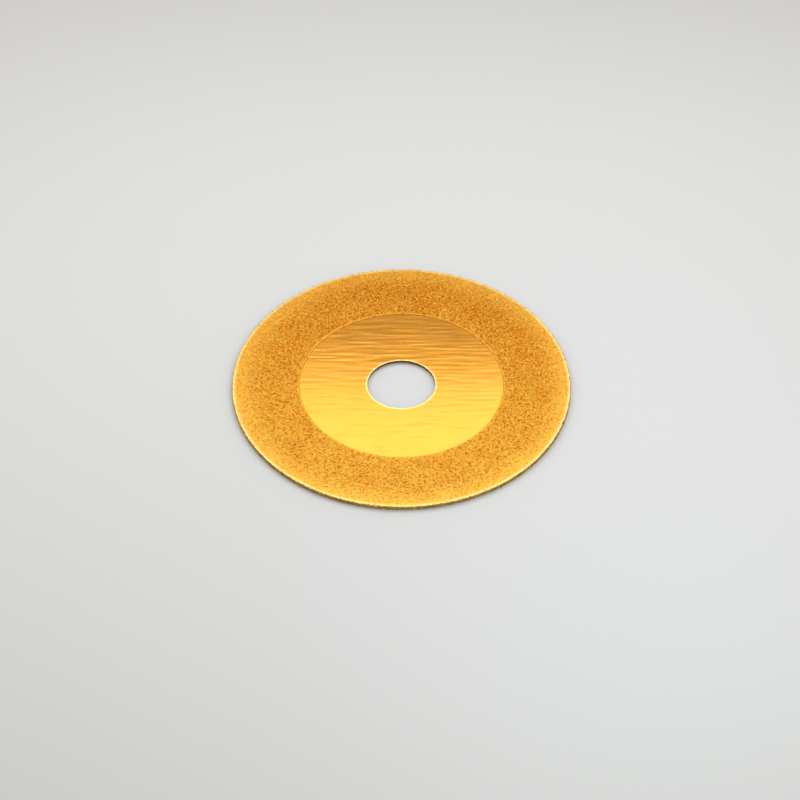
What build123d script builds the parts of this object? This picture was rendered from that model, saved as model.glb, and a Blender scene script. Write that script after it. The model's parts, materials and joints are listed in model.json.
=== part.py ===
from build123d import *
import os

# Electroplated diamond blade for a small angle grinder, in millimetres.
# A thin steel blank with a plain arbor bore carries one layer of diamond grit on the outer band of
# both faces and round the rim. Nickel bond holds the grit. The frame's origin is the bore's centre
# at mid thickness, and +Z is the spin axis.

# Driving dimensions
outer_diameter = 100.0  # over the grit tips on the rim
bore_diameter = 20.0
bare_centre_diameter = 60.0  # the clamping face, inside the coated band
core_thickness = 0.8
bond_thickness = 0.2  # nickel on the blank's face
grit_height = 0.15  # grit tips above the nickel
band_relief = 0.05  # the blank is blasted this much lower under the coating
bore_chamfer = 0.1
corner_share = 2 - 2**0.5  # a corner cut by this share of its reach touches the quarter circle

# Radii and heights that follow from them
coat_thickness = bond_thickness + grit_height
core_radius = outer_diameter / 2 - coat_thickness
bore_radius = bore_diameter / 2
band_radius = bare_centre_diameter / 2
core_face = core_thickness / 2
band_face = core_face - band_relief
bond_face = core_face + bond_thickness
grit_face = bond_face + grit_height
corner_height = bond_face - bond_thickness  # both layers turn the rim's corners about this height


def ring(*edges):
    """Turns a closed profile, drawn as (radius, height), about the Z axis."""
    return revolve(Plane.XZ * make_face(edges), Axis.Z)


def with_lower_half(upper):
    """The profile's upper points, from the top down, followed by their mirror images."""
    return upper + [(radius, -height) for radius, height in reversed(upper)]


def rim_line(reach):
    """Outer line of a layer that reaches this far past the blank's edge, with cut corners."""
    wall = core_radius + reach
    face = corner_height + reach
    cut = reach * corner_share
    return with_lower_half([(core_radius, face), (wall - cut, face), (wall, face - cut)])


def steel_core():
    """The blank: a flat washer, lower under the coated band, with both bore edges broken."""
    outline = with_lower_half(
        [
            (bore_radius, core_face - bore_chamfer),
            (bore_radius + bore_chamfer, core_face),
            (band_radius, core_face),
            (band_radius, band_face),
            (core_radius, band_face),
        ]
    )
    return ring(*Polyline(*outline, close=True).edges())


def bond_front():
    """Nickel on the front face, up to the blank's edge, with a rounded inner edge."""
    crown = band_radius + bond_thickness
    outline = Polyline(
        (band_radius, core_face),
        (band_radius, band_face),
        (core_radius, band_face),
        (core_radius, bond_face),
        (crown, bond_face),
    )
    inner_edge = CenterArc((crown, core_face), bond_thickness, 90, 90)
    return ring(*outline.edges(), inner_edge)


def bond_rim():
    """Nickel round the blank's edge, level with the nickel on both faces."""
    return ring(*Polyline(*rim_line(bond_thickness), close=True).edges())


def grit_front():
    """Envelope of the grit that stands out of the front nickel."""
    first_grain = band_radius + bond_thickness
    corners = [
        (first_grain, bond_face),
        (core_radius, bond_face),
        (core_radius, grit_face),
        (first_grain + grit_height, grit_face),
    ]
    return ring(*Polyline(*corners, close=True).edges())


def grit_rim():
    """Envelope of the grit that stands out of the nickel on the rim and at its two corners."""
    tips = rim_line(coat_thickness)
    roots = rim_line(bond_thickness)
    return ring(*Polyline(*tips, *reversed(roots), close=True).edges())


def turned_over(shape):
    """The same layer on the back face."""
    return mirror(shape, about=Plane.XY)


nodes = {
    "steel_core": steel_core(),
    "bond_front": bond_front(),
    "bond_back": turned_over(bond_front()),
    "bond_rim": bond_rim(),
    "grit_front": grit_front(),
    "grit_back": turned_over(grit_front()),
    "grit_rim": grit_rim(),
}

os.makedirs("parts", exist_ok=True)
for name, shape in nodes.items():
    export_step(shape, f"parts/{name}.step")
    print(f"{name}: {shape.volume:.1f} mm3")
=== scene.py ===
import json
import math

import bpy
import numpy as np
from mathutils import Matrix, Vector

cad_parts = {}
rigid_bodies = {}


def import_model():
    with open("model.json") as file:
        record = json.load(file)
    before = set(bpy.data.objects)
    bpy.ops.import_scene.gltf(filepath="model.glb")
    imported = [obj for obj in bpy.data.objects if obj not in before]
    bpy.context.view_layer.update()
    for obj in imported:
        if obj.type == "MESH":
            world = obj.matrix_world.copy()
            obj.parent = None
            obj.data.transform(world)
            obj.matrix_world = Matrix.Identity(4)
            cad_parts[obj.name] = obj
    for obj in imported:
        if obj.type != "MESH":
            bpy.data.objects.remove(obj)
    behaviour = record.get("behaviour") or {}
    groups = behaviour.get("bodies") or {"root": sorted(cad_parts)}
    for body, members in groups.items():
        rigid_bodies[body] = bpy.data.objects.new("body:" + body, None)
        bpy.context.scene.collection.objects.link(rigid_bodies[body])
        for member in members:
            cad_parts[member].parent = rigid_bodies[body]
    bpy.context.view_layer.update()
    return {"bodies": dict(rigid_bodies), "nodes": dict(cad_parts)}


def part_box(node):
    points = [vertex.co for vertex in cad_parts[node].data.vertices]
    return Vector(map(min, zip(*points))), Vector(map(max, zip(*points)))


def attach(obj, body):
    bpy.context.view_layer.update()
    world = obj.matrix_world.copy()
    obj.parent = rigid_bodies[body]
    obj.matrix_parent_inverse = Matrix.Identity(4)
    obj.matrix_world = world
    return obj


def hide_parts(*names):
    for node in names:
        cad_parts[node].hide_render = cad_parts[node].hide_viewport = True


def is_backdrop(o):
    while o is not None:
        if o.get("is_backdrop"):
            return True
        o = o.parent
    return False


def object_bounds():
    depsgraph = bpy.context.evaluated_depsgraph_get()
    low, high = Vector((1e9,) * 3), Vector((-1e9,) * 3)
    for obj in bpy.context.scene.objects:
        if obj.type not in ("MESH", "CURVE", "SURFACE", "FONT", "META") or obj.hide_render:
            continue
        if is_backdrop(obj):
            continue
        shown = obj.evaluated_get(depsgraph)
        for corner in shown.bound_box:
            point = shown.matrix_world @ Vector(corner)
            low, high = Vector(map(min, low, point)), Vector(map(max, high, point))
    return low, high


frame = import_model()
print("frame loaded:", ", ".join(sorted(frame["nodes"])))

mm = 0.001
turn = 2 * math.pi
body = next(iter(frame["bodies"]))  # a blade has no moving part, so there is one body


# a mesh's vertices as rows of (x, y, z)
def vertexPlaces(mesh):
    places = np.empty(len(mesh.vertices) * 3, np.float32)
    mesh.vertices.foreach_get("co", places)
    return places.reshape(-1, 3)


# smallest distance of a CAD node's points from the spin axis: min of sqrt(x² + y²)
def innerRadius(node):
    places = vertexPlaces(frame["nodes"][node].data)
    return float(np.hypot(places[:, 0], places[:, 1]).min())


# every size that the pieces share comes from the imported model, in metres
blade = {
    "boreRadius": innerRadius("steel_core"),
    "bandRadius": innerRadius("bond_front"),  # inner edge of the coating
    "coreRadius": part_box("steel_core")[1].x,
    "coreFace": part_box("steel_core")[1].z,
    "bandFace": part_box("bond_front")[0].z,  # the blasted steel under the coating
    "nickelFace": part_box("bond_front")[1].z,
    "tipFace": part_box("grit_front")[1].z,
    "rimRadius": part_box("grit_rim")[1].x,
}
blade["nickelReach"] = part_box("bond_rim")[1].x - blade["coreRadius"]


# adds one node, sets its properties, then fills or links its inputs
def addNode(tree, kind, inputs=None, **settings):
    node = tree.nodes.new("ShaderNode" + kind)
    for key, value in settings.items():
        setattr(node, key, value)
    for key, value in (inputs or {}).items():
        if isinstance(value, bpy.types.NodeSocket):
            tree.links.new(value, node.inputs[key])
        else:
            node.inputs[key].default_value = value
    return node


# one arithmetic node: its operation on a, b and c, held in 0..1 when asked
def doMath(tree, operation, a, b=0.0, c=0.0, clamp=False):
    node = addNode(tree, "Math", {0: a, 1: b, 2: c}, operation=operation, use_clamp=clamp)
    return node.outputs[0]


# out = toLow + (toHigh - toLow)·smoothstep((value - low) / (high - low))
def smoothRange(tree, value, low, high, toLow=0.0, toHigh=1.0):
    span = {"Value": value, "From Min": low, "From Max": high, "To Min": toLow, "To Max": toHigh}
    return addNode(tree, "MapRange", span, interpolation_type="SMOOTHSTEP").outputs[0]


# colour = (1 - factor)·a + factor·b
def blendColours(tree, factor, a, b):
    return addNode(tree, "Mix", {0: factor, 6: a, 7: b}, data_type="RGBA").outputs[2]


shot = {
    "distance": 949 * mm,  # from the bore's centre
    "elevation": math.radians(44.6),
    "lens": 144.8,
    "sensor": 36.0,
    "aim": (-0.4 * mm, -6.2 * mm, 0.0),
    "clip": (0.05, 20.0),  # nearest and farthest distance that it sees
}


# the camera stands at distance·(0, -cos elevation, sin elevation) and looks at the aim point
def placeCamera(shot):
    data = bpy.data.cameras.new("bladeCamera")
    data.lens = shot["lens"]
    data.sensor_width = shot["sensor"]
    data.clip_start, data.clip_end = shot["clip"]
    camera = bpy.data.objects.new("bladeCamera", data)
    bpy.context.scene.collection.objects.link(camera)
    away = Vector((0, -math.cos(shot["elevation"]), math.sin(shot["elevation"])))
    camera.location = away * shot["distance"]
    camera.rotation_mode = "QUATERNION"
    camera.rotation_quaternion = (Vector(shot["aim"]) - camera.location).to_track_quat("-Z", "Y")
    bpy.context.scene.camera = camera


studio = {
    "floorSize": 6.0,
    "floorColour": (0.66, 0.69, 0.72, 1),
    "floorRoughness": 0.9,
    "skyColour": (1.0, 0.91, 0.82, 1),
    "skyStrength": 0.545,
    "horizonStrength": 0.95,
    "horizonSlope": (0.60, 0.15),  # the sky brightens from the first of these down to the second
    "softboxes": {
        # name: (centre, point it faces, width, depth, watts, colour)
        "backSoftbox": ((0, 0.117, 0.231), (0, -0.03, 0), 0.42, 0.176, 0.365, (1, 1, 1)),
        "frontSoftbox": ((0.08, -0.12, 0.16), (0, -0.02, 0), 0.16, 0.16, 0.085, (0.86, 1, 1)),
        "leftSoftbox": ((-0.24, -0.04, 0.20), (0, 0, 0), 0.26, 0.16, 0.10, (1, 0.98, 0.95)),
        "rightSoftbox": ((0.24, -0.04, 0.20), (0, 0, 0), 0.26, 0.16, 0.10, (1, 0.98, 0.95)),
    },
}


# a pale sky all round, brighter near the horizon: with z the height of a direction of length 1,
# strength = skyStrength + (horizonStrength - skyStrength)·smoothstep of z over horizonSlope
def lightSky(studio):
    world = bpy.data.worlds.new("paleSky")
    world.use_nodes = True
    tree = world.node_tree
    background = tree.nodes["Background"]
    background.inputs["Color"].default_value = studio["skyColour"]
    direction = addNode(tree, "TexCoord").outputs["Generated"]
    height = addNode(tree, "SeparateXYZ", {"Vector": direction}).outputs["Z"]
    high, low = studio["horizonSlope"]
    strength = smoothRange(tree, height, high, low, studio["skyStrength"], studio["horizonStrength"])
    tree.links.new(strength, background.inputs["Strength"])
    bpy.context.scene.world = world


# one rectangular lamp that faces a point and isn't seen by the camera itself
def placeSoftbox(name, centre, target, width, depth, watts, colour):
    data = bpy.data.lights.new(name, "AREA")
    data.shape = "RECTANGLE"
    data.size = width
    data.size_y = depth
    data.energy = watts
    data.color = colour
    box = bpy.data.objects.new(name, data)
    bpy.context.scene.collection.objects.link(box)
    box.location = centre
    box.rotation_mode = "QUATERNION"
    box.rotation_quaternion = (Vector(target) - Vector(centre)).to_track_quat("-Z", "Y")
    box.visible_camera = False


bpy.context.scene.view_settings.view_transform = "Standard"
placeCamera(shot)
lightSky(studio)
for name, settings in studio["softboxes"].items():
    placeSoftbox(name, *settings)
print("camera and lights placed")


# an empty shader node group with its sockets: {name: (type, default)} in and {name: type} out
def newGroup(name, inputs, outputs):
    group = bpy.data.node_groups.new(name, "ShaderNodeTree")
    for key, (kind, default) in inputs.items():
        socket = group.interface.new_socket(key, in_out="INPUT", socket_type="NodeSocket" + kind)
        socket.default_value = default
    for key, kind in outputs.items():
        group.interface.new_socket(key, in_out="OUTPUT", socket_type="NodeSocket" + kind)
    given = group.nodes.new("NodeGroupInput")
    result = group.nodes.new("NodeGroupOutput")
    return group, given.outputs, result.inputs


# places a node group in a material with its own values
def useGroup(tree, group, inputs):
    return addNode(tree, "Group", inputs, node_tree=group).outputs


# Object coordinates in millimetres
def millimetres(tree):
    place = addNode(tree, "TexCoord").outputs["Object"]
    return addNode(tree, "Mapping", {"Vector": place, "Scale": (1000, 1000, 1000)}).outputs[0]


# noise in 0..1 whose blots are about the given size, in millimetres
def noiseOfSize(tree, size, settings):
    scale = doMath(tree, "DIVIDE", 1.0, size)
    inputs = {"Vector": millimetres(tree), "Scale": scale, **settings}
    return addNode(tree, "TexNoise", inputs).outputs["Fac"]


# filmTint: the nitride film's colour. It runs from amber, where the film is thick or lies in a
# hollow, to lemon: mix = 0.5 + cloud·(noise - 0.5) + swing·(tone - 0.5) - slope·y / rimRadius,
# where the slope is painted light: a painted highlight on the side towards the camera and
# painted shade on the far side
def filmTintGroup():
    group, given, result = newGroup(
        "filmTint",
        {
            "Amber": ("Color", (0.80, 0.30, 0.03, 1)),
            "Lemon": ("Color", (1.0, 0.6, 0.12, 1)),
            "Cloud Size": ("Float", 12.0),
            "Cloud": ("Float", 0.4),
            "Tone": ("Float", 0.5),
            "Swing": ("Float", 0.5),
            "LightSlope": ("Float", 0.0),
        },
        {"Color": "Color"},
    )
    noise = noiseOfSize(group, given["Cloud Size"], {"Detail": 3.0})
    along = addNode(group, "SeparateXYZ", {"Vector": millimetres(group)}).outputs["Y"]
    side = doMath(group, "DIVIDE", along, -blade["rimRadius"] / mm)
    mix = doMath(group, "MULTIPLY_ADD", doMath(group, "SUBTRACT", noise, 0.5), given["Cloud"], 0.5)
    mix = doMath(group, "MULTIPLY_ADD", side, given["LightSlope"], mix)
    tone = doMath(group, "SUBTRACT", given["Tone"], 0.5)
    mix = doMath(group, "MULTIPLY_ADD", tone, given["Swing"], mix, clamp=True)
    group.links.new(blendColours(group, mix, given["Amber"], given["Lemon"]), result["Color"])
    return group


# a patchy ring mask about one radius, where a lighter colour is laid on: painted highlights along the
# bore's edge, the rim's corner and the coating's lip, and a paler band towards the rim.
# mask = (1 - smoothstep(|sqrt(x² + y²) - radius| / width))·(1 - patches·(1 - patch)),
# where patch is a noise with soft steps between 0 and 1
def ringMaskGroup():
    group, given, result = newGroup(
        "ringMask",
        {"Radius": ("Float", 10.0), "Width": ("Float", 0.4), "Patches": ("Float", 0.3)},
        {"Mask": "Float"},
    )
    place = millimetres(group)
    flat = addNode(group, "VectorMath", {0: place, 1: (1, 1, 0)}, operation="MULTIPLY").outputs[0]
    radius = addNode(group, "VectorMath", {0: flat}, operation="LENGTH").outputs["Value"]
    gap = doMath(group, "ABSOLUTE", doMath(group, "SUBTRACT", radius, given["Radius"]))
    ring = smoothRange(group, doMath(group, "DIVIDE", gap, given["Width"]), 0.0, 1.0, 1.0, 0.0)
    noise = addNode(group, "TexNoise", {"Vector": place, "Scale": 0.7, "Detail": 4.0})
    patch = smoothRange(group, noise.outputs["Fac"], 0.35, 0.6)
    lost = doMath(group, "MULTIPLY", doMath(group, "SUBTRACT", 1.0, patch), given["Patches"])
    mask = doMath(group, "MULTIPLY", ring, doMath(group, "SUBTRACT", 1.0, lost))
    group.links.new(mask, result["Mask"])
    return group


# handSmudge: slow changes of gloss from handling. value = amount·(noise - 0.5)
def handSmudgeGroup():
    group, given, result = newGroup(
        "handSmudge",
        {"Size": ("Float", 15.0), "Amount": ("Float", 0.1)},
        {"Value": "Float"},
    )
    settings = {"Detail": 5.0, "Roughness": 0.6, "Distortion": 0.6}
    centred = doMath(group, "SUBTRACT", noiseOfSize(group, given["Size"], settings), 0.5)
    group.links.new(doMath(group, "MULTIPLY", centred, given["Amount"]), result["Value"])
    return group


# plateGrain: the fine tooth of plated and coated surfaces, as a noise and as a normal that the
# noise has bumped by up to 0.02 mm
def plateGrainGroup():
    group, given, result = newGroup(
        "plateGrain",
        {"Size": ("Float", 0.1), "Depth": ("Float", 0.5)},
        {"Value": "Float", "Normal": "Vector"},
    )
    tooth = noiseOfSize(group, given["Size"], {"Detail": 3.0, "Roughness": 0.65})
    relief = {"Height": tooth, "Strength": given["Depth"], "Distance": 0.02 * mm}
    bump = addNode(group, "Bump", relief)
    group.links.new(tooth, result["Value"])
    group.links.new(bump.outputs[0], result["Normal"])
    return group


filmTint = filmTintGroup()
ringMask = ringMaskGroup()
handSmudge = handSmudgeGroup()
plateGrain = plateGrainGroup()
print("node groups made")

film = {
    # the film's two ends on the bare steel and on the coated band
    "centre": {"Amber": (0.84, 0.33, 0.028, 1), "Lemon": (0.94, 0.475, 0.078, 1)},
    "band": {"Amber": (0.66, 0.230, 0.018, 1), "Lemon": (0.82, 0.550, 0.078, 1)},
    "grazing": (1.0, 0.78, 0.42, 1),  # where the metal is seen almost edge on
    "wearAndHighlight": (1.0, 0.64, 0.11, 1),  # worn paler at the grains' tips, paler towards the rim, and a painted highlight on the coating's lip
    "pale": (1.0, 0.82, 0.34, 1),  # painted highlight on the very edges: round the bore and on the rim's corner
    "hollowShade": (0.36, 0.11, 0.007, 1),  # painted shade in scratches, pits and the roots of grains
    "shadedWall": (0.18, 0.066, 0.012, 1),  # painted shade on the bore's wall and the rim's wall
}


# a material with its Principled shader, metallic all over
def newMetal(name):
    material = bpy.data.materials.new(name)
    material.use_nodes = True
    shader = material.node_tree.nodes["Principled BSDF"]
    shader.inputs["Metallic"].default_value = 1.0
    shader.inputs["Specular Tint"].default_value = film["grazing"]
    return material, material.node_tree, shader


# links what changes over a metal's surface to its shader
def linkMetal(tree, shader, colour, roughness, normal):
    tree.links.new(colour, shader.inputs["Base Color"])
    tree.links.new(roughness, shader.inputs["Roughness"])
    tree.links.new(normal, shader.inputs["Normal"])


# reads one of the numbers that a piece's vertices carry
def readAttribute(tree, name):
    return addNode(tree, "Attribute", attribute_name=name).outputs["Fac"]


# lays a tint over a colour in a patchy ring about one radius
def tintRing(tree, colour, tint, radius, ring):
    inputs = {"Radius": radius / mm, "Width": ring["width"], "Patches": ring["patches"]}
    mask = useGroup(tree, ringMask, inputs)["Mask"]
    return blendColours(tree, doMath(tree, "MULTIPLY", mask, ring["share"]), colour, tint)


# sizes under "tint", "grain", "pits" and "smudge" and all ring widths are in millimetres
brushed = {
    "coarse": (11 * mm, 1.35 * mm),  # length and pitch of the long scratches
    "fine": (9 * mm, 0.16 * mm),
    "detail": 0.6,  # of both noises: low, so that the scratches stay clean
    "coarseShare": 12.0,  # depth of the long scratches against the fine ones
    "depth": 0.0036 * mm,  # of the fine ones
    "wornFromTo": (-4 * mm, 16 * mm),  # along Y: polished by handling, still as ground
    "wornShare": 0.5,  # of the long scratches' depth, where they are worn
    "line": (0.38, 0.30),  # painted shade in the deepest scratches: from none to full
    "lineTint": 0.14,
    "tint": {"Cloud Size": 18.0, "Cloud": 0.5, "Swing": 0.5},
    # a painted highlight round the bore's rolled edge
    "boreHighlight": {"width": 0.8, "patches": 0.2, "share": 1.0},
    "roughness": 0.12,
    "fineRoughness": 0.10,
    "smudge": {"Size": 14.0, "Amount": 0.08},
    "oil": 0.12,
    "oilRoughness": 0.2,
}


# brushed steel under the film: long scratches along X, of two sizes.
# streak = noise(x / length, y / pitch) for each size. The bump's height is
# fine + coarseShare·(coarse - 0.5)·kept, where kept falls smoothly to wornShare along -Y
def brushedFilmMaterial(brushed):
    material, tree, shader = newMetal("brushedFilm")
    place = addNode(tree, "TexCoord").outputs["Object"]
    streaks = []
    for length, pitch in (brushed["coarse"], brushed["fine"]):
        grid = {"Vector": place, "Scale": (1 / length, 1 / pitch, 1 / length)}
        stretched = addNode(tree, "Mapping", grid).outputs[0]
        noise = {"Vector": stretched, "Scale": 1.0, "Detail": brushed["detail"]}
        streaks.append(addNode(tree, "TexNoise", noise).outputs["Fac"])
    coarse, fine = streaks
    along = addNode(tree, "SeparateXYZ", {"Vector": place}).outputs["Y"]
    kept = smoothRange(tree, along, *brushed["wornFromTo"], brushed["wornShare"], 1.0)
    ridge = doMath(tree, "MULTIPLY", doMath(tree, "SUBTRACT", coarse, 0.5), kept)
    height = doMath(tree, "MULTIPLY_ADD", ridge, brushed["coarseShare"], fine)
    bump = addNode(tree, "Bump", {"Height": height, "Strength": 1.0, "Distance": brushed["depth"]})
    colour = useGroup(tree, filmTint, {**film["centre"], **brushed["tint"], "Tone": fine})["Color"]
    # painted shade in the deepest scratches
    line = smoothRange(tree, coarse, *brushed["line"], 0.0, brushed["lineTint"])
    colour = blendColours(tree, line, colour, film["hollowShade"])
    # painted highlight round the bore
    colour = tintRing(tree, colour, film["pale"], blade["boreRadius"], brushed["boreHighlight"])
    # painted shade on the bore's wall
    colour = blendColours(tree, readAttribute(tree, "shadedWall"), colour, film["shadedWall"])
    gloss = doMath(tree, "MULTIPLY_ADD", fine, brushed["fineRoughness"], brushed["roughness"])
    gloss = doMath(tree, "ADD", gloss, useGroup(tree, handSmudge, brushed["smudge"])["Value"])
    shader.inputs["Coat Weight"].default_value = brushed["oil"]
    shader.inputs["Coat Roughness"].default_value = brushed["oilRoughness"]
    linkMetal(tree, shader, colour, gloss, bump.outputs[0])
    return material


plated = {
    "grain": {"Size": 0.11, "Depth": 0.6},
    # the tint's slope along Y is painted light: lighter towards the camera, painted shade on the far
    # side
    "tint": {"Cloud Size": 9.0, "Cloud": 0.6, "Swing": 1.2, "LightSlope": 0.18},
    "toneDrop": 0.2,  # the nickel is painted nearer to amber than the grains: painted shade between the grains
    "pits": {"Size": 0.8, "Depth": 0.0},
    "pitRange": (0.52, 0.38),  # painted shade in the hollows of the pits' noise, which has no relief
    "pitShade": 0.9,
    # paler towards the rim
    "rimPaling": {"width": 9.0, "patches": 0.3, "share": 0.4},
    # a painted highlight on the rim's corner
    "edgeHighlight": {"width": 1.1, "patches": 0.2, "share": 0.8},
    # a painted highlight on the coating's lip
    "lipHighlight": {"width": 0.5, "patches": 0.3, "share": 0.35},
    "lipCentre": 0.3 * mm,  # distance from the coating's inner edge
    "wallPatch": (0.35, 0.65),  # where the tooth stands proud, the rim wall's painted shade is weaker
    "wallPatchShade": 0.6,
    "roughness": 0.34,
    "grainRoughness": 0.2,
    "smudge": {"Size": 10.0, "Amount": 0.12},
}


# nickel between the grains: satin, with a fine tooth, painted shade in its pits, painted highlights on
# the coating's lip and the rim's corner, and paler towards the rim
def nickelFilmMaterial(plated):
    material, tree, shader = newMetal("nickelFilm")
    grain = useGroup(tree, plateGrain, plated["grain"])
    tooth = grain["Value"]
    # painted shade between the grains: the nickel is nearer to amber
    tone = doMath(tree, "SUBTRACT", tooth, plated["toneDrop"])
    colour = useGroup(tree, filmTint, {**film["band"], **plated["tint"], "Tone": tone})["Color"]
    hollow = useGroup(tree, plateGrain, plated["pits"])["Value"]
    # painted shade in the pits
    pits = smoothRange(tree, hollow, *plated["pitRange"], 0.0, plated["pitShade"])
    colour = blendColours(tree, pits, colour, film["hollowShade"])
    # paler towards the rim
    colour = tintRing(tree, colour, film["wearAndHighlight"], blade["rimRadius"], plated["rimPaling"])
    # painted highlight on the rim's corner
    colour = tintRing(tree, colour, film["pale"], blade["coreRadius"], plated["edgeHighlight"])
    # painted highlight on the coating's lip
    lipRadius = blade["bandRadius"] + plated["lipCentre"]
    colour = tintRing(tree, colour, film["wearAndHighlight"], lipRadius, plated["lipHighlight"])
    # painted shade on the rim's wall
    patchy = smoothRange(tree, tooth, *plated["wallPatch"], 1.0, plated["wallPatchShade"])
    wall = doMath(tree, "MULTIPLY", readAttribute(tree, "shadedWall"), patchy)
    colour = blendColours(tree, wall, colour, film["shadedWall"])
    gloss = doMath(tree, "MULTIPLY_ADD", tooth, plated["grainRoughness"], plated["roughness"])
    gloss = doMath(tree, "ADD", gloss, useGroup(tree, handSmudge, plated["smudge"])["Value"])
    linkMetal(tree, shader, colour, gloss, grain["Normal"])
    return material


gritty = {
    "grain": {"Size": 0.07, "Depth": 0.35},
    # the tint's slope along Y is painted light: lighter towards the camera, painted shade on the far
    # side
    "tint": {"Cloud Size": 9.0, "Cloud": 0.6, "Swing": 1.8, "LightSlope": 0.18},
    "root": (0.6, 0.0),  # of a grain's rise: painted shade at the root, from here down
    "rootShade": 0.7,
    "tip": (0.8, 1.0),  # and burnished from here up
    "tipShine": 0.35,
    # paler towards the rim
    "rimPaling": {"width": 9.0, "patches": 0.3, "share": 0.4},
    # a painted highlight on the rim's corner
    "edgeHighlight": {"width": 1.1, "patches": 0.2, "share": 0.6},
    "roughness": 0.20,
    "toneRoughness": 0.2,
}


# grains under the film: each has its own tone, with painted shade at its root and burnished at its tip
def gritFilmMaterial(gritty):
    material, tree, shader = newMetal("gritFilm")
    grain = useGroup(tree, plateGrain, gritty["grain"])
    tone = readAttribute(tree, "tone")
    rise = readAttribute(tree, "rise")
    colour = useGroup(tree, filmTint, {**film["band"], **gritty["tint"], "Tone": tone})["Color"]
    # painted shade at the grains' roots, where they meet the nickel
    root = smoothRange(tree, rise, *gritty["root"], 0.0, gritty["rootShade"])
    colour = blendColours(tree, root, colour, film["hollowShade"])
    tip = smoothRange(tree, rise, *gritty["tip"], 0.0, gritty["tipShine"])
    colour = blendColours(tree, tip, colour, film["wearAndHighlight"])
    # paler towards the rim
    colour = tintRing(tree, colour, film["wearAndHighlight"], blade["rimRadius"], gritty["rimPaling"])
    # painted highlight on the rim's corner
    colour = tintRing(tree, colour, film["pale"], blade["coreRadius"], gritty["edgeHighlight"])
    # painted shade on the grains of the rim's wall
    colour = blendColours(tree, readAttribute(tree, "shadedWall"), colour, film["shadedWall"])
    gloss = doMath(tree, "MULTIPLY_ADD", tone, gritty["toneRoughness"], gritty["roughness"])
    linkMetal(tree, shader, colour, gloss, grain["Normal"])
    return material


brushedFilm = brushedFilmMaterial(brushed)
nickelFilm = nickelFilmMaterial(plated)
gritFilm = gritFilmMaterial(gritty)
print("materials made")

sharpCorner = math.radians(40)  # on a smooth piece, edges that turn by more than this stay sharp


# puts vertices and faces of one size into a mesh object that rides on the blade's body
def makePiece(name, points, faces, material, replaced, smooth=False):
    mesh = bpy.data.meshes.new(name)
    corners = faces.shape[1]
    mesh.vertices.add(len(points))
    mesh.vertices.foreach_set("co", points.astype(np.float32).ravel())
    mesh.loops.add(faces.size)
    mesh.loops.foreach_set("vertex_index", faces.astype(np.int32).ravel())
    mesh.polygons.add(len(faces))
    mesh.polygons.foreach_set("loop_start", np.arange(0, faces.size, corners, dtype=np.int32))
    mesh.polygons.foreach_set("use_smooth", np.full(len(faces), smooth))
    mesh.update(calc_edges=True)
    mesh.validate()
    if smooth:
        mesh.set_sharp_from_angle(angle=sharpCorner)
    mesh.materials.append(material)
    piece = bpy.data.objects.new(name, mesh)
    bpy.context.scene.collection.objects.link(piece)
    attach(piece, body)
    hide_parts(replaced)
    print(f"{name}: {len(points)} points, {len(faces)} faces")
    return piece


# one number for each vertex, which a material reads by name
def setAttribute(piece, name, values):
    attribute = piece.data.attributes.new(name, "FLOAT", "POINT")
    attribute.data.foreach_set("value", values.astype(np.float32).ravel())


# a map from each face corner's place (x, y, z) to (u, v), both 0 to 1
def setMap(piece, layOut):
    mesh = piece.data
    index = np.empty(len(mesh.loops), np.int32)
    mesh.loops.foreach_get("vertex_index", index)
    corners = vertexPlaces(mesh)[index]
    layer = mesh.uv_layers.new(name="OFBake")
    layer.data.foreach_set("uv", np.clip(layOut(corners), 0, 1).astype(np.float32).ravel())


# angles a_i = 2π·i / steps all round the axis
def anglesRound(steps):
    return np.arange(steps) * turn / steps


# a closed ring: the closed profile (radius_j, height_j) carried round the axis, so that point
# (i, j) is (radius_ij·cos a_i, radius_ij·sin a_i, height_ij)
def carryRound(radius, height, steps):
    angle = anglesRound(steps)
    across = np.broadcast_to(radius, (steps, radius.shape[-1]))
    up = np.broadcast_to(height, across.shape)
    points = np.stack([across * np.cos(angle)[:, None], across * np.sin(angle)[:, None], up], -1)
    count = across.shape[1]
    i, j = np.meshgrid(np.arange(steps), np.arange(count), indexing="ij")
    nextI = (i + 1) % steps
    nextJ = (j + 1) % count
    faces = np.stack([i * count + j, nextI * count + j, nextI * count + nextJ, i * count + nextJ], -1)
    return points.reshape(-1, 3), faces.reshape(-1, 4)


# waves of random length and direction, as (kx, ky, phase, amplitude)
def makeWaves(seed, count, shortest, longest):
    rng = np.random.default_rng(seed)
    length = np.exp(rng.uniform(np.log(shortest), np.log(longest), count))
    heading = rng.uniform(0, turn, count)
    phase = rng.uniform(0, turn, count)
    share = np.sqrt(length / length.sum())
    return turn / length * np.cos(heading), turn / length * np.sin(heading), phase, share


# lumps = sum of amplitude·cos(kx·x + ky·y + phase) over the waves
def lumps(waves, x, y):
    kx, ky, phase, share = waves
    return (np.cos(x[..., None] * kx + y[..., None] * ky + phase) * share).sum(-1)


# s(t) = t²·(3 - 2t) with t = (value - low) / (high - low) held in 0..1
def smoothStep(value, low, high):
    t = np.clip((value - low) / (high - low), 0, 1)
    return t * t * (3 - 2 * t)


core = {
    "steps": 720,
    "edgeRoll": 0.10 * mm,  # radius of both bore edges
    "edgePoints": 5,
    "wallPoint": 0.3,  # height of a point on the bore's wall, of half the thickness
    "faceRings": 8,
    "wallShadeFade": (0.02 * mm, 0.06 * mm),  # the painted shade on the bore's wall fades out over these distances from it
    "mapReach": 1.02,  # of the bare centre's radius
    "mapMargin": 0.005,
}


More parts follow.
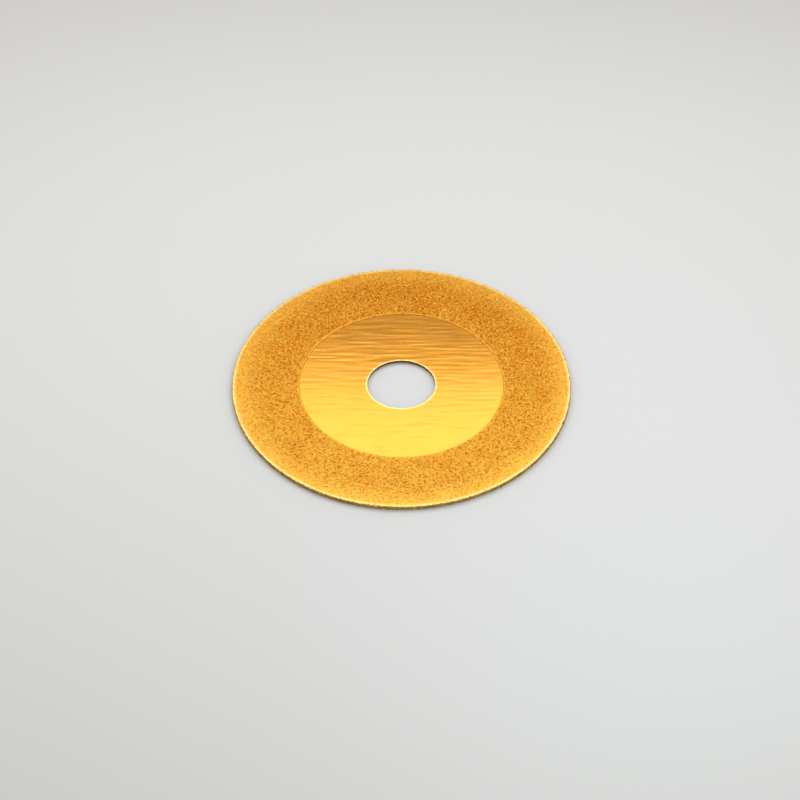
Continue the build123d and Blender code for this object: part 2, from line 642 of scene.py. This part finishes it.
# profile of a washer with rolled bore edges, from the bore's wall up: wall, rolled edge (a quarter
# circle), face, step down to the blasted band, outer edge, and the same in reverse below
def coreProfile(core):
    roll = core["edgeRoll"]
    arc = np.linspace(0, math.pi / 2, core["edgePoints"])
    bore, face = blade["boreRadius"], blade["coreFace"]
    edgeR = bore + roll * (1 - np.cos(arc))
    edgeZ = face - roll * (1 - np.sin(arc))
    faceR = np.linspace(bore + roll, blade["bandRadius"], core["faceRings"])[1:]
    faceZ = np.full(len(faceR), face)
    upR = np.r_[bore, edgeR, faceR, blade["bandRadius"], blade["coreRadius"]]
    upZ = np.r_[face * core["wallPoint"], edgeZ, faceZ, blade["bandFace"], blade["bandFace"]]
    # the order is turned round so that the faces point outwards
    radius = np.r_[upR, upR[::-1]][::-1]
    height = np.r_[upZ, -upZ[::-1]][::-1]
    return radius, height


# steel core: the blank, brushed in its bare centre
def makeCore(core, material):
    radius, height = coreProfile(core)
    points, faces = carryRound(radius, height, core["steps"])
    piece = makePiece("steelCore", points, faces, material, "steel_core")
    fromWall = np.hypot(points[:, 0], points[:, 1]) - blade["boreRadius"]
    # painted shade on the bore's wall, fading out over a small distance
    setAttribute(piece, "shadedWall", 1 - smoothStep(fromWall, *core["wallShadeFade"]))
    reach = blade["bandRadius"] * core["mapReach"]

    # front half in the upper left quarter of the map, back half in the upper right one
    def layOut(p):
        flat = np.clip(p[:, :2] / reach, -1, 1) * (0.25 - core["mapMargin"]) + 0.25
        flat[:, 1] += 0.5
        flat[p[:, 2] < 0, 0] += 0.5
        return flat

    setMap(piece, layOut)


nickel = {
    "steps": 720,
    "rings": 56,
    "footPoints": 6,  # round the coating's inner edge
    "cornerPoints": 7,  # round each corner of the rim
    "wallPoints": 5,
    "wallSpan": 0.8,  # share of the rim's straight wall that they cover
    "lump": 0.012 * mm,
    "waves": makeWaves(11, 28, 0.8 * mm, 5 * mm),
    "lip": 0.050 * mm,  # plating builds up a low ridge at the masked edge
    "lipWidth": 0.30 * mm,
    "rimGain": 0.045 * mm,  # and grows thicker towards the rim
    "rimGainFrom": 40 * mm,
    "edgeWobble": 0.03 * mm,
    "wobbleTrack": 90 * mm,  # the wobble reads the waves round a circle of this radius
    "wobbleReach": 3,  # and fades out within this many widths of the quarter round
    "rippleTrack": 2,  # the rim's ripple reads them at this many times its own radius
    "wallShade": 0.85,  # how strongly painted shade darkens the rim's wall
    "wallShadeFrom": 0.35,  # of the nickel's reach past the blank's edge
}


# height of the front nickel over a point: face + lip·exp(-((r - bandRadius - w) / w)²)
# + rimGain·s(r) + lump·lumps(x, y), where w is lipWidth
def nickelHeight(nickel, x, y):
    radius = np.hypot(x, y)
    lipAt = blade["bandRadius"] + nickel["lipWidth"]
    lip = nickel["lip"] * np.exp(-(((radius - lipAt) / nickel["lipWidth"]) ** 2))
    gain = nickel["rimGain"] * smoothStep(radius, nickel["rimGainFrom"], blade["coreRadius"])
    return blade["nickelFace"] + lip + gain + nickel["lump"] * lumps(nickel["waves"], x, y)


# one face's ring: a foot on the steel, a quarter-round inner edge, the lumpy top and a flat
# underside. Side is 1 for the front and -1 for the back, which is the same ring turned over
def makeNickelFace(name, node, nickel, material, side):
    angle = anglesRound(nickel["steps"])
    foot = blade["nickelFace"] - blade["coreFace"]
    arc = np.linspace(0, math.pi / 2, nickel["footPoints"])
    edgeR = blade["bandRadius"] + foot * (1 - np.cos(arc))
    topR = np.linspace(edgeR[-1], blade["coreRadius"], nickel["rings"])[1:]
    radius = np.r_[blade["bandRadius"], edgeR, topR, blade["coreRadius"]]
    track = nickel["wobbleTrack"]
    wobble = lumps(nickel["waves"], track * np.cos(angle), track * side * np.sin(angle))
    widths = (radius - blade["bandRadius"]) / foot
    nearEdge = 1 - smoothStep(widths, 1, nickel["wobbleReach"])
    radius = radius + nickel["edgeWobble"] * wobble[:, None] * nearEdge
    x = radius * np.cos(angle)[:, None]
    y = radius * np.sin(angle)[:, None]
    top = nickelHeight(nickel, x, y * side)
    # share of the top's height that each profile point has above the core's face
    share = np.r_[0, np.sin(arc), np.ones(len(topR)), 0]
    height = blade["coreFace"] + (top - blade["coreFace"]) * share
    height[:, [0, -1]] = blade["bandFace"]
    if side > 0:  # the faces point outwards on either side
        radius, height = radius[:, ::-1], height[:, ::-1]
    points, faces = carryRound(radius, height * side, nickel["steps"])
    piece = makePiece(name, points, faces, material, node, smooth=True)
    setMap(piece, lambda p: p[:, :2] / blade["rimRadius"] * 0.5 + 0.5)


rimMap = {
    "strips": 8,
    "heights": 3,  # a strip is this many times the blade's half thickness high
    "margin": 0.02,
}


# the rim cut into strips that lie under each other: u runs along a strip, v across it
def unrolledRim(p):
    around = (np.arctan2(p[:, 1], p[:, 0]) / turn % 1) * rimMap["strips"]
    across = 0.5 + p[:, 2] / (rimMap["heights"] * blade["tipFace"])
    across = np.clip(across, rimMap["margin"], 1 - rimMap["margin"])
    return np.stack([around % 1, (np.floor(around) + across) / rimMap["strips"]], -1)


# the rim's ring: both corners are quarter rounds of the nickel's thickness, about the blank's edge
def makeNickelRim(nickel, material):
    steps = nickel["steps"]
    angle = anglesRound(steps)
    x = blade["coreRadius"] * np.cos(angle)
    y = blade["coreRadius"] * np.sin(angle)
    reach = blade["nickelReach"]
    arc = np.linspace(math.pi / 2, 0, nickel["cornerPoints"])
    above = nickelHeight(nickel, x, y)[:, None]
    below = nickelHeight(nickel, x, -y)[:, None]
    upR = blade["coreRadius"] + reach * np.cos(arc)
    lift = reach * (np.sin(arc) - 1)
    wallTop = nickel["wallSpan"] * (blade["nickelFace"] - reach)
    wallZ = np.tile(np.linspace(wallTop, -wallTop, nickel["wallPoints"]), (steps, 1))
    wallR = np.full(nickel["wallPoints"], upR[-1])
    radius = np.r_[upR, wallR, upR[::-1]]
    height = np.concatenate([above + lift, wallZ, -(below + lift)[:, ::-1]], 1)
    track = nickel["rippleTrack"]
    ripple = nickel["lump"] * lumps(nickel["waves"], x * track, y * track)[:, None]
    outward = (radius - blade["coreRadius"]) / reach
    radius = radius + ripple * outward
    points, faces = carryRound(radius[:, ::-1], height[:, ::-1], steps)
    piece = makePiece("nickelRim", points, faces, material, "bond_rim", smooth=True)
    # painted shade on the rim's wall
    wallShading = nickel["wallShade"] * smoothStep(outward[::-1], nickel["wallShadeFrom"], 1.0)
    setAttribute(piece, "shadedWall", np.tile(wallShading, steps))
    setMap(piece, unrolledRim)


grit = {
    "pitch": 0.58 * mm,  # mean distance between grains
    "size": 0.64 * mm,
    "sizeSpread": 0.13,
    "sizeLimits": (0.65, 1.4),  # of the mean size
    "scatter": 0.30,  # of the pitch
    "topRadius": 0.66,  # of the waist's radius, as the next two are
    "topHeight": 0.72,
    "rootDepth": 0.8,
    "chip": 0.16,  # how far a corner may be broken off, of its distance from the middle
    "chipRange": (-1, 0.6),  # in by all of that, or out by a part of it
    "flatten": (0.82, 1.12),  # a grain's two widths against the template's
    "squat": (0.8, 1.1),  # and its height
    "tilt": 0.42,  # most lean from the surface's normal, in radians
    "firstRow": 0.42 * mm,  # from the coating's inner edge
    "stand": 0.16 * mm,  # how far a mean grain stands out of the nickel
    "rimStand": 0.07 * mm,  # near the rim it is plated in deeper
    "buried": (41 * mm, 49 * mm),  # radii between which it changes
    "standSpread": (0.5, 1.25),  # of the mean stand, as on the wall
    "tallest": 0.01 * mm,  # most that a tip rises over the CAD model's
    "wallStand": 0.085 * mm,  # on the rim's wall
    "wallStandSpread": (0.6, 1.6),
    "wallCrowd": 1.6,  # grains on the wall against the same area of a face
    "wallScatter": 0.4,  # of the distance between two grains round the rim
    "wallShade": (0.5, 0.95),  # how strongly painted shade darkens the grains on the rim's wall
    "wallShadeFrom": 0.35,  # sine of the slope at which that starts
    "thin": 0.09,  # share of places with no grain
    "clumps": makeWaves(19, 40, 0.9 * mm, 2.2 * mm),  # grains gather and thin out
    "tone": 0.58,  # mean tone of the grains, 0 for amber and 1 for lemon
    "clumpTone": 0.20,  # change of tone from a gap to a clump
    "toneSpread": 0.4,  # and from grain to grain
    "sectors": "ABC",  # the pieces that each face's grit is cut into
}


# a blunt grain: 3 points on top, 6 about its waist, which has a radius of 1, and 1 below, in
# 16 triangles
def grainTemplate(grit):
    top = np.arange(3) * turn / 3 + turn / 12
    waist = np.arange(6) * turn / 6
    points = np.zeros((10, 3))
    points[:3, :2] = np.stack([np.cos(top), np.sin(top)], -1) * grit["topRadius"]
    points[:3, 2] = grit["topHeight"]
    points[3:9, :2] = np.stack([np.cos(waist), np.sin(waist)], -1)
    points[9, 2] = -grit["rootDepth"]
    faces = [(0, 1, 2)]
    for k in range(3):
        a, b = 3 + 2 * k, 4 + 2 * k
        after = 3 + (2 * k + 2) % 6
        faces += [(k, a, b), (k, b, (k + 1) % 3), ((k + 1) % 3, b, after)]
    for k in range(6):
        faces.append((9, 3 + (k + 1) % 6, 3 + k))
    return points, np.array(faces)


# area of one grain's place when they are packed as close as the pitch lets them: pitch²·√3 / 2
def areaEach(grit):
    return grit["pitch"] ** 2 * math.sqrt(0.75)


# places in a ring by the sunflower rule, r² = inner² + n·area / π and a = n·golden angle, each
# moved by a random step. A place is left empty by the chance thin·exp(-lumps)
def scatterOnRing(rng, grit, inner, outer):
    count = int(math.pi * (outer**2 - inner**2) / areaEach(grit))
    n = np.arange(count) + 0.5
    radius = np.sqrt(inner**2 + n * areaEach(grit) / math.pi)
    angle = n * math.pi * (3 - math.sqrt(5))
    place = np.stack([radius * np.cos(angle), radius * np.sin(angle)], -1)
    place += rng.normal(0, grit["scatter"] * grit["pitch"], place.shape)
    spread = np.hypot(place[:, 0], place[:, 1])
    gathered = lumps(grit["clumps"], place[:, 0], place[:, 1])
    thinned = rng.random(count) < grit["thin"] * np.exp(-gathered)
    return place[(spread > inner) & (spread < outer) & ~thinned]


# rows of unit vectors (u, v, w) for each grain: w leans from the normal, and u and v span the
# plane across it, spun about w
def leaningAxes(normals, spin, lean, toward):
    helper = np.where(np.abs(normals[:, 2:3]) > 0.5, (1.0, 0, 0), (0, 0, 1.0))
    e1 = np.cross(helper, normals)
    e1 /= np.linalg.norm(e1, axis=1, keepdims=True)
    e2 = np.cross(normals, e1)
    side = e1 * np.cos(toward)[:, None] + e2 * np.sin(toward)[:, None]
    w = normals * np.cos(lean)[:, None] + side * np.sin(lean)[:, None]
    u = np.cross(np.cross(w, side), w)
    u /= np.linalg.norm(u, axis=1, keepdims=True)
    v = np.cross(w, u)
    uSpun = u * np.cos(spin)[:, None] + v * np.sin(spin)[:, None]
    return np.stack([uSpun, np.cross(w, uSpun), w], 1)


# grains on the places given, with the surface's outward normals there. Each grain is the template
# times size, with chipped corners, turned about its axis and tilted; then it is sunk until its
# highest point stands out by the stand given
def cutGrains(rng, grit, seats, normals, stand):
    template, faces = grainTemplate(grit)
    each, count = len(template), len(seats)
    size = grit["size"] / 2 * np.clip(rng.normal(1, grit["sizeSpread"], count), *grit["sizeLimits"])
    shape = template[None] * (1 + rng.uniform(*grit["chipRange"], (count, each, 1)) * grit["chip"])
    shape[:, :, :2] *= rng.uniform(*grit["flatten"], (count, 1, 2))
    shape[:, :, 2] *= rng.uniform(*grit["squat"], (count, 1))
    spin = rng.uniform(0, turn, count)
    lean = grit["tilt"] * np.sqrt(rng.random(count))
    toward = rng.uniform(0, turn, count)
    axes = leaningAxes(normals, spin, lean, toward)
    offset = np.einsum("nkc,ncd->nkd", shape, axes) * size[:, None, None]
    along = np.einsum("nkd,nd->nk", offset, normals)
    sink = stand - along.max(1)
    points = seats[:, None] + offset + normals[:, None] * sink[:, None, None]
    rise = np.clip((along + sink[:, None]) / stand[:, None], 0, 1)
    allFaces = faces[None] + np.arange(count)[:, None, None] * each
    gathered = lumps(grit["clumps"], seats[:, 0], seats[:, 1])
    own = rng.uniform(-grit["toneSpread"], grit["toneSpread"], count)
    tone = np.repeat(grit["tone"] + grit["clumpTone"] * gathered + own, each)
    return points.reshape(-1, 3), allFaces.reshape(-1, 3), tone, rise.ravel()


# a piece of grit with the three numbers that its material reads
def makeGrit(name, points, faces, material, node, tone, rise, wallShading):
    piece = makePiece(name, points, faces, material, node)
    setAttribute(piece, "tone", tone)
    setAttribute(piece, "rise", rise)
    setAttribute(piece, "shadedWall", wallShading)
    return piece


# one coated face of grit, in sectors
def makeGritFace(name, node, grit, material, side, seed):
    rng = np.random.default_rng(seed)
    place = scatterOnRing(rng, grit, blade["bandRadius"] + grit["firstRow"], blade["coreRadius"])
    radius = np.hypot(place[:, 0], place[:, 1])
    seatZ = nickelHeight(nickel, place[:, 0], place[:, 1])
    stand = grit["stand"] + (grit["rimStand"] - grit["stand"]) * smoothStep(radius, *grit["buried"])
    stand = stand * rng.uniform(*grit["standSpread"], len(place))
    stand = np.minimum(stand, blade["tipFace"] + grit["tallest"] - seatZ)
    seats = np.stack([place[:, 0], place[:, 1] * side, seatZ * side], -1)
    normals = np.zeros_like(seats)
    normals[:, 2] = side
    sector = (np.arctan2(seats[:, 1], seats[:, 0]) / turn % 1 * len(grit["sectors"])).astype(int)
    for k, letter in enumerate(grit["sectors"]):
        chosen = sector == k
        points, faces, tone, rise = cutGrains(rng, grit, seats[chosen], normals[chosen], stand[chosen])
        # no painted wall shade on the faces' grit
        wallShading = np.zeros(len(points))
        piece = makeGrit(name + letter, points, faces, material, node, tone, rise, wallShading)
        low, high = points.min(0), points.max(0)
        span = (high - low)[:2].max()
        setMap(piece, lambda p: (p[:, :2] - low[:2]) / span)


# grit round the rim: places run along the wall and both corners. With the arc length s measured
# from the front corner's start, the outline is a quarter circle, a straight wall and a quarter circle
def makeGritRim(grit, material, seed):
    rng = np.random.default_rng(seed)
    reach = blade["nickelReach"]
    corner = reach * math.pi / 2
    wall = 2 * (blade["nickelFace"] - reach)
    length = 2 * corner + wall
    area = length * turn * (blade["coreRadius"] + reach)
    count = int(area * grit["wallCrowd"] / areaEach(grit))
    s = rng.permutation(count) / count * length
    scatter = rng.uniform(-grit["wallScatter"], grit["wallScatter"], count)
    a = (np.arange(count) + scatter) / count * turn
    first = np.clip(s, 0, corner) / reach
    last = np.clip(s - corner - wall, 0, corner) / reach
    slope = first + last  # from straight up, 0, to straight down, π
    out = np.sin(slope)
    midZ = wall / 2 - np.clip(s - corner, 0, wall)
    seatR = blade["coreRadius"] + reach * out
    seatZ = midZ + reach * np.cos(slope)
    seats = np.stack([seatR * np.cos(a), seatR * np.sin(a), seatZ], -1)
    normals = np.stack([out * np.cos(a), out * np.sin(a), np.cos(slope)], -1)
    stand = grit["wallStand"] * rng.uniform(*grit["wallStandSpread"], count)
    points, faces, tone, rise = cutGrains(rng, grit, seats, normals, stand)
    # painted shade on the grains of the rim's wall, stronger where they face outwards
    wallShading = smoothStep(out, grit["wallShadeFrom"], 1.0) * rng.uniform(*grit["wallShade"], count)
    wallShading = np.repeat(wallShading, len(points) // count)
    piece = makeGrit("gritRim", points, faces, material, "grit_rim", tone, rise, wallShading)
    setMap(piece, unrolledRim)


makeCore(core, brushedFilm)
makeNickelFace("nickelFront", "bond_front", nickel, nickelFilm, side=1)
makeNickelFace("nickelBack", "bond_back", nickel, nickelFilm, side=-1)
makeNickelRim(nickel, nickelFilm)
makeGritFace("gritFront", "grit_front", grit, gritFilm, side=1, seed=41)
makeGritFace("gritBack", "grit_back", grit, gritFilm, side=-1, seed=42)
makeGritRim(grit, gritFilm, seed=43)


# the floor: a plain pale sheet at the blade's lowest point
def layFloor(studio):
    material = bpy.data.materials.new("paleFloor")
    material.use_nodes = True
    shader = material.node_tree.nodes["Principled BSDF"]
    shader.inputs["Base Color"].default_value = studio["floorColour"]
    shader.inputs["Roughness"].default_value = studio["floorRoughness"]
    half = studio["floorSize"] / 2
    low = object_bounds()[0].z
    mesh = bpy.data.meshes.new("studioFloor")
    places = [(-half, -half, low), (half, -half, low), (half, half, low), (-half, half, low)]
    mesh.from_pydata(places, [], [(0, 1, 2, 3)])
    mesh.materials.append(material)
    floor = bpy.data.objects.new("studioFloor", mesh)
    bpy.context.scene.collection.objects.link(floor)
    floor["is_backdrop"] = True


layFloor(studio)
print("floor laid")
